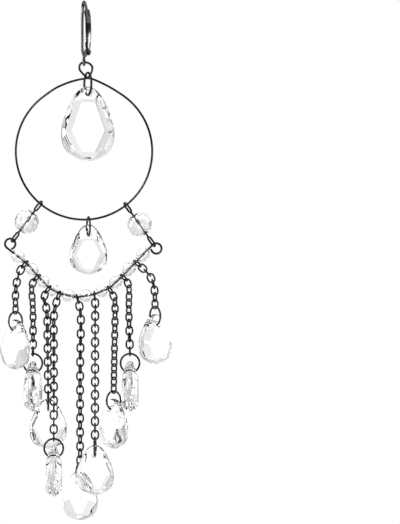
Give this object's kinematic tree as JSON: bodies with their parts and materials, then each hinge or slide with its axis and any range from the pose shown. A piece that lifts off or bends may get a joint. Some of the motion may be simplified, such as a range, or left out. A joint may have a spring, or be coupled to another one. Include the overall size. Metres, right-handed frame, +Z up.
{
  "type": "chandelier earring",
  "caption": "Chandelier earring: leverback, wire hoop with a pear crystal drop, a drop below it, and a beaded swag of cable chains ending in pear crystals.",
  "frame": {"origin": "middle of the ear wire at its crown, where the earring hangs in the ear", "axes": "+Z up, -Y to the front of the earring, +X to the right seen from the front"},
  "size_m": [0.0431, 0.0129, 0.1301],
  "materials": {
    "dark_metal": "polished black nickel plating",
    "crystal": "clear cut crystal"
  },
  "bodies": {
    "earring": {"ear_wire": "dark_metal", "hoop": "dark_metal", "centre_drop_link": "dark_metal", "centre_drop": "crystal", "side_pin_left": "dark_metal", "side_pin_right": "dark_metal", "side_bead_left": "crystal", "side_bead_right": "crystal", "swag_wire": "dark_metal", "swag_bead_1": "crystal", "swag_bead_2": "crystal", "swag_bead_3": "crystal", "swag_bead_4": "crystal", "swag_bead_5": "crystal", "swag_bead_6": "crystal", "swag_bead_7": "crystal", "swag_bead_8": "crystal", "swag_bead_9": "crystal", "swag_bead_10": "crystal", "chain_1": "dark_metal", "jump_ring_1": "dark_metal", "pear_1": "crystal", "chain_2": "dark_metal", "jump_ring_2": "dark_metal", "pear_2": "crystal", "chain_3": "dark_metal", "jump_ring_3": "dark_metal", "pear_3": "crystal", "chain_4": "dark_metal", "jump_ring_4": "dark_metal", "pear_4": "crystal", "chain_5": "dark_metal", "jump_ring_5": "dark_metal", "pear_5": "crystal", "chain_6": "dark_metal", "jump_ring_6": "dark_metal", "pear_6": "crystal", "chain_7": "dark_metal", "jump_ring_7": "dark_metal", "pear_7": "crystal", "chain_8": "dark_metal", "jump_ring_8": "dark_metal", "pear_8": "crystal", "chain_9": "dark_metal", "jump_ring_9": "dark_metal", "pear_9": "crystal"},
    "lever": {"lever": "dark_metal"},
    "main_link": {"main_drop_link": "dark_metal"},
    "main_drop": {"main_drop": "crystal"}
  },
  "joints": [
    {"name": "lever_hinge", "type": "hinge", "parent": "earring", "child": "lever", "pos_m": [0.0008, 0.00453, -0.0123], "axis": [-0.9848, 0.1736, 0], "range_deg": [0, 50]},
    {"name": "main_link_swing", "type": "hinge", "parent": "earring", "child": "main_link", "pos_m": [0.00095, 0, -0.01901], "axis": [1, 0, 0], "range_deg": [-25, 25]},
    {"name": "main_drop_swing", "type": "hinge", "parent": "main_link", "child": "main_drop", "pos_m": [0.00095, 0, -0.02296], "axis": [-0.1392, 0.9903, 0], "range_deg": [-30, 30]}
  ]
}
